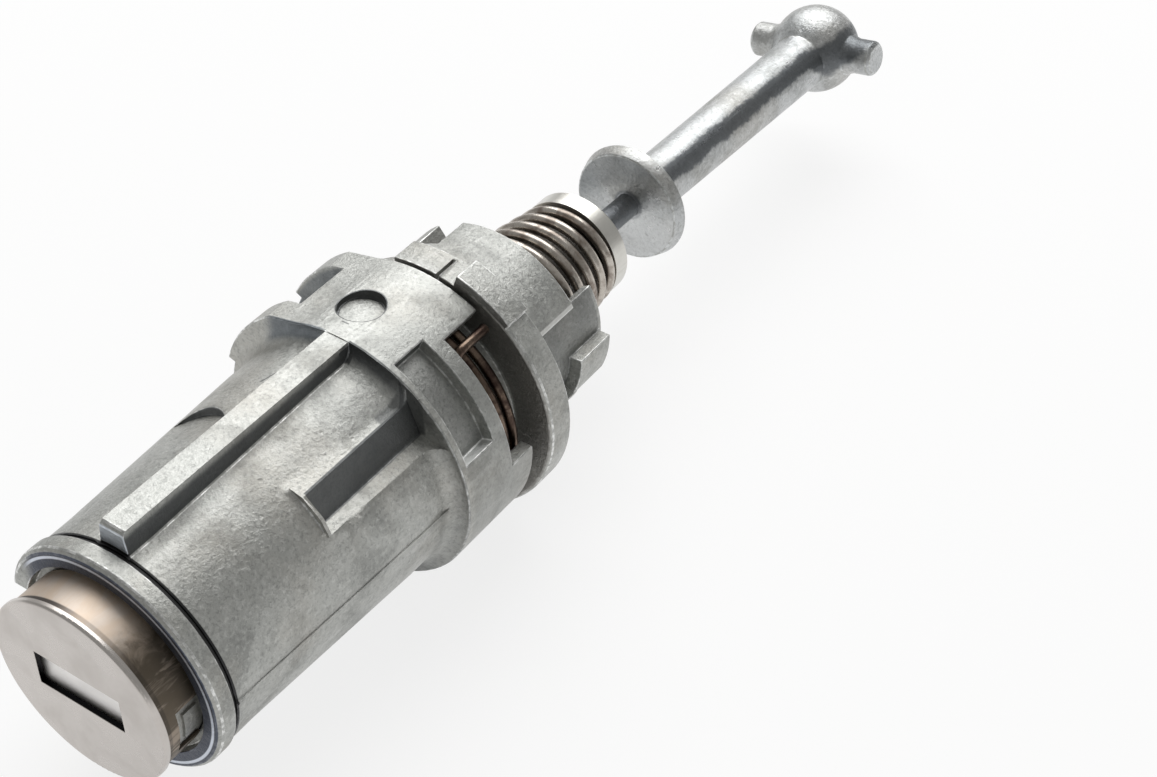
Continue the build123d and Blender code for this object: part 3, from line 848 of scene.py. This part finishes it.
@dataclass(frozen=True)
class SpringWire:
    """Drawn spring wire with a plated or oily sheen."""

    name: str
    colour: Colour
    shade: Colour
    rough: float = 0.26

    def make(self) -> bpy.types.Material:
        """Builds the material.

        Returns:
            The material.
        """
        ink = Shader(self.name)
        tone = ink.noise(0.45, 5, 0.65, 0.5).step(0.40, 0.66)
        colour = ink.mix(tone, self.colour, self.shade)
        height = ink.noise(3.0, 4, 0.6)
        return ink.finish(
            Base_Color=colour, Roughness=self.rough + tone * 0.12, Metallic=0.95,
            Normal=ink.bump(height, 0.012, 0.6),
        )


@dataclass(frozen=True)
class SealRubber:
    """Black rubber with a dusty bloom."""

    name: str = "black_seal"
    colour: Colour = (0.012, 0.012, 0.013)
    bloom: Colour = (0.045, 0.043, 0.04)

    def make(self) -> bpy.types.Material:
        """Builds the material.

        Returns:
            The material.
        """
        ink = Shader(self.name)
        dust = ink.noise(0.9, 5, 0.6).step(0.5, 0.75)
        colour = ink.mix(dust * 0.5, self.colour, self.bloom)
        return ink.finish(
            Base_Color=colour, Roughness=0.55 + dust * 0.2, Metallic=0.0,
            Normal=ink.bump(ink.noise(4.0, 4, 0.6), 0.02, 0.5),
        )


@dataclass(frozen=True)
class StudioFloor:
    """Pale floor that shows white to the camera and keeps the shadow."""

    name: str = "pale_floor"
    colour: Colour = (0.93, 0.93, 0.93)
    glow: float = 0.8

    def make(self) -> bpy.types.Material:
        """Builds the material.

        Returns:
            The material.
        """
        ink = Shader(self.name)
        seen = ink.add("ShaderNodeLightPath", {}, {}, "Is Camera Ray")
        paths = seen.socket.node.outputs
        for ray in ("Is Glossy Ray", "Is Transmission Ray"):
            seen = seen.greater(Signal(ink, paths[ray]))
        ink.finish(Base_Color=self.colour, Roughness=0.95, Specular_IOR_Level=0.0)
        glow = ink.add("ShaderNodeEmission", {}, {"Color": (1.0, 1.0, 1.0), "Strength": 1.0})
        shaders = {0: seen * self.glow, 1: ink.surface.outputs[0], 2: glow}
        blend = ink.add("ShaderNodeMixShader", {}, shaders)
        ink.tree.links.new(blend.socket, ink.output.inputs["Surface"])
        return ink.material


class Finish(Enum):
    """Finishes of the lock."""

    # Castings carry painted shade and highlights from their marks; their edges are brighter from
    # wear and a painted highlight.
    HOUSING = CastZinc("cast_zinc_housing", HousingShadeAndNicks)
    HOUSING_EDGE = WornHighlitEdge("worn_highlit_housing_edge", HousingShadeAndNicks)
    DRIVER = CastZinc("cast_zinc_driver", DriverShading, stain=0.45, grain=0.14)
    DRIVER_EDGE = WornHighlitEdge("worn_highlit_driver_edge", DriverShading)
    TAIL = CastZinc(
        "cast_zinc_tail", TailShading, (0.50, 0.515, 0.52), frost=(0.74, 0.75, 0.75), rough=0.30
    )
    TAIL_EDGE = WornHighlitEdge("worn_highlit_tail_edge", TailShading, (0.66, 0.68, 0.68))
    PLUG = CastZinc("cast_zinc_plug", stain=0.3)
    CAP = PressedCap("satin_cap")
    SLEEVE = BrushedSteel("ground_sleeve", (0.50, 0.50, 0.50), (0.35, 0.35, 0.35), 0.3)
    FLAP = BrushedSteel(
        "bright_flap", (0.88, 0.86, 0.84), (0.78, 0.76, 0.74), 0.4, scratch=(0.12, 1.0, 1.0)
    )
    PIN = BrushedSteel("drawn_pin", (0.55, 0.55, 0.55), (0.40, 0.40, 0.40), 0.25)
    CLIP = BrushedSteel("dark_clip", (0.20, 0.20, 0.21), (0.12, 0.12, 0.13), 0.35)
    END_CAP = BrushedSteel("plated_end_cap", (0.66, 0.65, 0.61), (0.45, 0.43, 0.39), 0.3)
    WAFER = BrushedSteel("punched_brass", (0.60, 0.44, 0.18), (0.45, 0.31, 0.11), 0.28)
    BRONZE = SpringWire("bronze_coil", (0.17, 0.125, 0.095), (0.04, 0.024, 0.02))
    NICKEL = SpringWire("nickel_coil", (0.54, 0.50, 0.45), (0.24, 0.20, 0.17))
    STEEL_WIRE = SpringWire("steel_coil", (0.50, 0.50, 0.50), (0.36, 0.36, 0.36))
    SEAL = SealRubber()
    FLOOR = StudioFloor()

    def material(self) -> bpy.types.Material:
        """Material of this finish, made the first time it is asked for."""
        found = bpy.data.materials.get(self.value.name)
        return found or self.value.make()


# Mesh work


def deselect_all() -> None:
    """Leaves nothing selected and no mode open."""
    if bpy.context.object and bpy.context.object.mode != "OBJECT":
        bpy.ops.object.mode_set(mode="OBJECT")
    bpy.ops.object.select_all(action="DESELECT")


def make_active(piece: bpy.types.Object) -> None:
    """Selects one piece alone and makes it active.

    Args:
        piece: The piece.
    """
    deselect_all()
    piece.select_set(True)
    bpy.context.view_layer.objects.active = piece


def dress(piece: bpy.types.Object, *finishes: Finish) -> None:
    """Gives a piece its materials.

    Args:
        piece: The piece.
        finishes: Its finishes, in slot order.
    """
    piece.data.materials.clear()
    for finish in finishes:
        piece.data.materials.append(finish.material())


def smooth(piece: bpy.types.Object, angle: float = FACE_SMOOTHING) -> None:
    """Shades a piece smooth below an angle in degrees."""
    make_active(piece)
    bpy.ops.object.shade_smooth_by_angle(angle=math.radians(angle))


def steep_edges(mesh: bpy.types.Mesh, angle: float) -> dict[int, tuple[Vector, Vector]]:
    """Finds the edges whose two faces meet at more than an angle.

    Args:
        mesh: Mesh to look through.
        angle: The angle, in degrees.

    Returns:
        Both ends of each such edge, by its number.
    """
    work = bmesh.new()
    work.from_mesh(mesh)
    found = {}
    for edge in work.edges:
        if len(edge.link_faces) == 2 and edge.calc_face_angle(0) > math.radians(angle):
            found[edge.index] = tuple(corner.co.copy() for corner in edge.verts)
    work.free()
    return found


def crumpled_corners(mesh: bpy.types.Mesh) -> list[Vector]:
    """Finds the corners of triangles that turn away from the face they belong to.

    Args:
        mesh: Mesh to look through.

    Returns:
        The corners, or nothing when every face lies flat.
    """
    mesh.calc_loop_triangles()
    spots = set()
    for triangle in mesh.loop_triangles:
        turn = triangle.normal.angle(mesh.polygons[triangle.polygon_index].normal, 0)
        if triangle.area > TINY_AREA and turn > math.radians(CRUMPLE_ANGLE):
            spots.update(triangle.vertices)
    return [mesh.vertices[index].co.copy() for index in sorted(spots)]


def gap_to_edge(spot: Vector, start: Vector, end: Vector) -> float:
    """Distance from a point to a straight edge, in metres."""
    share = intersect_point_line(spot, start, end)[1]
    return (start.lerp(end, min(max(share, 0.0), 1.0)) - spot).length


def round_edges(piece: bpy.types.Object, width: float) -> None:
    """Rounds the steep edges, apart from those that have no room for it.

    Args:
        piece: Piece to change; its second slot takes the rounded edges.
        width: Width of the rounding, in millimetres.
    """
    plain = piece.data.copy()
    steep = steep_edges(plain, STEEP_ANGLE)
    spots: list[Vector] = []
    for _ in range(ROUNDING_TRIES):
        piece.data = plain.copy()
        weights = piece.data.attributes.new("bevel_weight_edge", "FLOAT", "EDGE")
        for index, ends in steep.items():
            if all(gap_to_edge(spot, *ends) > ROUNDING_ROOM * MM for spot in spots):
                weights.data[index].value = 1.0
        bevel = piece.modifiers.new("rounding", "BEVEL")
        bevel.width = width * MM
        bevel.segments = 2
        bevel.limit_method = "WEIGHT"
        bevel.use_clamp_overlap = False
        bevel.material = 1
        make_active(piece)
        bpy.ops.object.modifier_apply(modifier=bevel.name)
        found = crumpled_corners(piece.data)
        if not found:
            break
        spots += found
    log.info("%s: %d crumpled corners left", piece.name, len(found))


def soften_casting(
    node: str, name: str, width: float, finish: Finish, edge: Finish
) -> bpy.types.Object:
    """Copies a CAD node and rounds its edges as a casting's are.

    Args:
        node: Name of the CAD node.
        name: Name of the new piece.
        width: Width of the rounding, in millimetres.
        finish: Finish of its faces.
        edge: Finish of the rounded edges, a little brighter.

    Returns:
        The new piece.
    """
    source = bpy.data.objects[node]
    piece = bpy.data.objects.new(name, source.data.copy())
    bpy.context.collection.objects.link(piece)
    dress(piece, finish, edge)
    make_active(piece)
    bpy.ops.object.mode_set(mode="EDIT")
    bpy.ops.mesh.select_all(action="SELECT")
    bpy.ops.mesh.remove_doubles(threshold=CASTING_WELD)
    bpy.ops.mesh.dissolve_limited(angle_limit=math.radians(FLAT_ANGLE))
    bpy.ops.object.mode_set(mode="OBJECT")
    round_edges(piece, width)
    smooth(piece)
    even = piece.modifiers.new("even_faces", "WEIGHTED_NORMAL")
    even.keep_sharp = True
    even.weight = 50
    bpy.ops.object.modifier_apply(modifier=even.name)
    return piece


def wire_through(name: str, points: Iterable[Vector], radius: float) -> bpy.types.Object:
    """Bends round wire through points.

    Args:
        name: Name of the piece.
        points: Points of the wire's middle, in metres.
        radius: Radius of the wire, in millimetres.

    Returns:
        The wire as a closed mesh.
    """
    places = list(points)
    deselect_all()
    bpy.ops.curve.primitive_nurbs_path_add(location=(0, 0, 0))
    piece = bpy.context.object
    piece.name = name
    curve = piece.data
    curve.splines.clear()
    spline = curve.splines.new("NURBS")
    spline.points.add(len(places) - 1)
    for point, place in zip(spline.points, places):
        point.co = (*place, 1)
    spline.order_u = 3
    spline.use_endpoint_u = True
    spline.resolution_u = 3
    curve.dimensions = "3D"
    curve.bevel_depth = radius * MM
    curve.bevel_resolution = 4
    curve.use_fill_caps = True
    make_active(piece)
    bpy.ops.object.convert(target="MESH")
    piece = bpy.context.object
    bpy.ops.object.mode_set(mode="EDIT")
    bpy.ops.mesh.select_all(action="SELECT")
    bpy.ops.mesh.remove_doubles(threshold=WIRE_WELD)
    bpy.ops.mesh.normals_make_consistent(inside=False)
    bpy.ops.object.mode_set(mode="OBJECT")
    return piece


# Sub-assemblies


@dataclass
class Housing:
    """Cast housing with its seal."""

    rounding: float = 0.14

    def build(self) -> None:
        """Rounds the casting's edges and dresses the seal."""
        looks = (Finish.HOUSING, Finish.HOUSING_EDGE)
        shell = soften_casting("housing", "cast_housing", self.rounding, *looks)
        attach(shell, "housing")
        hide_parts("housing")
        dress(bpy.data.objects["seal_ring"], Finish.SEAL)
        smooth(bpy.data.objects["seal_ring"])
        log.info("housing: %d faces", len(shell.data.polygons))


@dataclass
class ReturnSpring:
    """Bronze torsion spring in the cup of the housing.

    Lengths are in millimetres, angles in degrees; first and leg_end are stations.
    """

    wire: float = 0.5
    radius: float = 11.7
    first: float = 35.6
    pitch: float = 1.28
    turns: float = 2.7
    start: float = 36.0
    leg_radius: float = 13.2
    leg_end: float = 39.8
    bend: tuple[float, float] = (2.2, 0.5)
    bend_inset: float = 0.5
    bend_angle: float = 3.0
    points_per_turn: int = 36

    def path(self) -> list[Vector]:
        """Gives the wire's line.

        Returns:
            Points from the end of the leg to the last coil.
        """
        stations = (self.leg_end, *(self.first + height for height in self.bend))
        points = [around(self.leg_radius, self.start, station) for station in stations]
        points.append(around(self.leg_radius - self.bend_inset, self.start + 1, self.first))
        for index in range(int(self.turns * self.points_per_turn) + 1):
            turn = index / self.points_per_turn
            angle = self.start + self.bend_angle + turn * 360
            points.append(around(self.radius, angle, self.first + turn * self.pitch))
        return points

    def build(self) -> None:
        """Winds and dresses the spring."""
        piece = wire_through("return_spring_wire", self.path(), self.wire)
        dress(piece, Finish.BRONZE)
        smooth(piece, COIL_SMOOTHING)
        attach(piece, "housing")
        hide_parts("return_spring")
        log.info("return spring: %d faces", len(piece.data.polygons))


@dataclass
class RearSpring:
    """Nickel-plated spring on the hub, wound slightly conical, with a closed end.

    Lengths are in millimetres; first is the front coil's station.
    """

    wire: float = 0.55
    radius_front: float = 7.7
    radius_rear: float = 5.5
    first: float = 47.4
    pitch: float = 2.0
    turns: float = 8.0
    points_per_turn: int = 32
    closing_points: int = 14
    closing_rise: float = 0.06
    closing_height: float = 0.4

    def path(self) -> list[Vector]:
        """Gives the wire's line.

        Returns:
            Points from the front coil to the closed part behind the rear one.
        """
        points = []
        for index in range(int(self.turns * self.points_per_turn) + 1):
            turn = index / self.points_per_turn
            share = turn / self.turns
            radius = self.radius_front + (self.radius_rear - self.radius_front) * share
            points.append(around(radius, turn * 360, self.first + turn * self.pitch))
        last = self.first + self.turns * self.pitch
        for index in range(1, self.closing_points + 1):
            station = last + min(index * self.closing_rise, self.closing_height)
            points.append(around(self.radius_rear, index / self.points_per_turn * 360, station))
        return points

    def build(self) -> None:
        """Winds and dresses the spring."""
        piece = wire_through("rear_spring_wire", self.path(), self.wire)
        dress(piece, Finish.NICKEL)
        smooth(piece, COIL_SMOOTHING)
        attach(piece, "driver")
        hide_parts("rear_spring")
        log.info("rear spring: %d faces", len(piece.data.polygons))


@dataclass
class Driver:
    """Cast driver with its end cap and cross pin."""

    rounding: float = 0.13

    def build(self) -> None:
        """Rounds the driver's edges and dresses what it carries."""
        looks = (Finish.DRIVER, Finish.DRIVER_EDGE)
        body = soften_casting("driver", "cast_driver", self.rounding, *looks)
        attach(body, "driver")
        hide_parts("driver")
        for node, finish in (("end_cap", Finish.END_CAP), ("drive_pin", Finish.PIN)):
            dress(bpy.data.objects[node], finish)
            smooth(bpy.data.objects[node])
        log.info("driver: %d faces", len(body.data.polygons))


@dataclass
class Plug:
    """Plug with its cap, flap, wafers, springs, sleeve and clip."""

    finishes: dict[str, Finish] = field(default_factory=lambda: {
        "plug": Finish.PLUG,
        "plug_cap": Finish.CAP,
        "clutch_sleeve": Finish.SLEEVE,
        "shutter": Finish.FLAP,
        "shutter_pin": Finish.PIN,
        "shutter_spring": Finish.STEEL_WIRE,
        "retaining_clip": Finish.CLIP,
    })

    def build(self) -> None:
        """Dresses each node of the plug."""
        for node in bpy.data.objects:
            if node.name.startswith("wafer_spring"):
                self.finishes[node.name] = Finish.STEEL_WIRE
            elif node.name.startswith("wafer"):
                self.finishes[node.name] = Finish.WAFER
        for name, finish in self.finishes.items():
            dress(bpy.data.objects[name], finish)
            smooth(bpy.data.objects[name])
        log.info("plug: %d nodes dressed", len(self.finishes))


@dataclass
class Tail:
    """Tail rod in one piece, with disc, ball and trunnions."""

    rounding: float = 0.14

    def build(self) -> None:
        """Rounds the rod's edges and dresses it."""
        looks = (Finish.TAIL, Finish.TAIL_EDGE)
        rod = soften_casting("tail", "cast_tail", self.rounding, *looks)
        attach(rod, "tail")
        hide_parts("tail")
        log.info("tail: %d faces", len(rod.data.polygons))


@dataclass
class Studio:
    """Camera, lamp, world and floor.

    The camera's position, lens and sensor are in millimetres, other lengths in metres.
    """

    position: Triple = (96.1, -72.6, 132.9)
    right: Triple = (0.8247, 0.5655, 0.0)
    up: Triple = (-0.3785, 0.5522, 0.7429)
    forward: Triple = (-0.4201, 0.6127, -0.6694)
    lens: float = 64.6
    sensor: float = 36.0
    nearest: float = 0.005
    farthest: float = 20.0
    lamp_place: Triple = (-0.25, 0.47, 0.60)
    lamp_target: Triple = (0.0, 0.045, 0.0)
    lamp_size: float = 0.8
    lamp_watts: float = 6.0
    sky: Colour = (1.0, 1.0, 0.985)
    sky_strength: float = 0.36
    floor_size: float = 6.0
    floor_cuts: int = 3

    def add_camera(self) -> None:
        """Adds the camera at the photograph's place."""
        deselect_all()
        bpy.ops.object.camera_add()
        camera = bpy.context.object
        camera.name = "photo_camera"
        camera.data.sensor_fit = "HORIZONTAL"
        camera.data.sensor_width = self.sensor
        camera.data.lens = self.lens
        camera.data.clip_start = self.nearest
        camera.data.clip_end = self.farthest
        turn = Matrix((self.right, self.up, -Vector(self.forward))).transposed().to_4x4()
        camera.matrix_world = Matrix.Translation(Vector(self.position) * MM) @ turn
        bpy.context.scene.camera = camera

    def add_lamp(self) -> None:
        """Adds the soft lamp and points it at the middle of the lock."""
        deselect_all()
        bpy.ops.object.light_add(type="AREA", location=self.lamp_place)
        lamp = bpy.context.object
        lamp.name = "key_panel"
        lamp.data.shape = "SQUARE"
        lamp.data.size = self.lamp_size
        lamp.data.energy = self.lamp_watts
        aim = Vector(self.lamp_target) - Vector(self.lamp_place)
        lamp.rotation_euler = aim.to_track_quat("-Z", "Y").to_euler()

    def add_floor(self, height: float) -> None:
        """Adds the floor.

        Args:
            height: Its level, in metres.
        """
        deselect_all()
        bpy.ops.mesh.primitive_plane_add(size=self.floor_size, location=(0, 0, height))
        floor = bpy.context.object
        floor.name = "studio_floor"
        bpy.ops.object.transform_apply(location=True, rotation=True, scale=True)
        bpy.ops.object.mode_set(mode="EDIT")
        bpy.ops.mesh.select_all(action="SELECT")
        bpy.ops.mesh.subdivide(number_cuts=self.floor_cuts)
        bpy.ops.object.mode_set(mode="OBJECT")
        dress(floor, Finish.FLOOR)
        floor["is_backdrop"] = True

    def add_world(self) -> None:
        """Lights the scene softly from all round."""
        world = bpy.data.worlds.new("soft_studio")
        bpy.context.scene.world = world
        world.use_nodes = True
        tree = world.node_tree
        tree.nodes.clear()
        output = tree.nodes.new("ShaderNodeOutputWorld")
        soft = tree.nodes.new("ShaderNodeBackground")
        soft.inputs["Color"].default_value = (*self.sky, 1)
        soft.inputs["Strength"].default_value = self.sky_strength
        tree.links.new(soft.outputs[0], output.inputs["Surface"])

    def build(self, floor_height: float) -> None:
        """Sets up the studio.

        Args:
            floor_height: Level of the floor, in metres.
        """
        self.add_camera()
        self.add_floor(floor_height)
        self.add_world()
        self.add_lamp()
        bpy.context.scene.view_settings.view_transform = "Standard"
        log.info("studio: floor at %.1f mm", floor_height / MM)


def main() -> None:
    """Builds the looks piece by piece."""
    logging.basicConfig(level=logging.INFO, format="%(message)s")
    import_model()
    cad_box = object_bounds()
    Studio().build(min(corner[2] for corner in cad_box) - FLOOR_GAP)
    for assembly in (Housing(), ReturnSpring(), Plug(), Driver(), RearSpring(), Tail()):
        assembly.build()


if __name__ == "__main__":
    main()
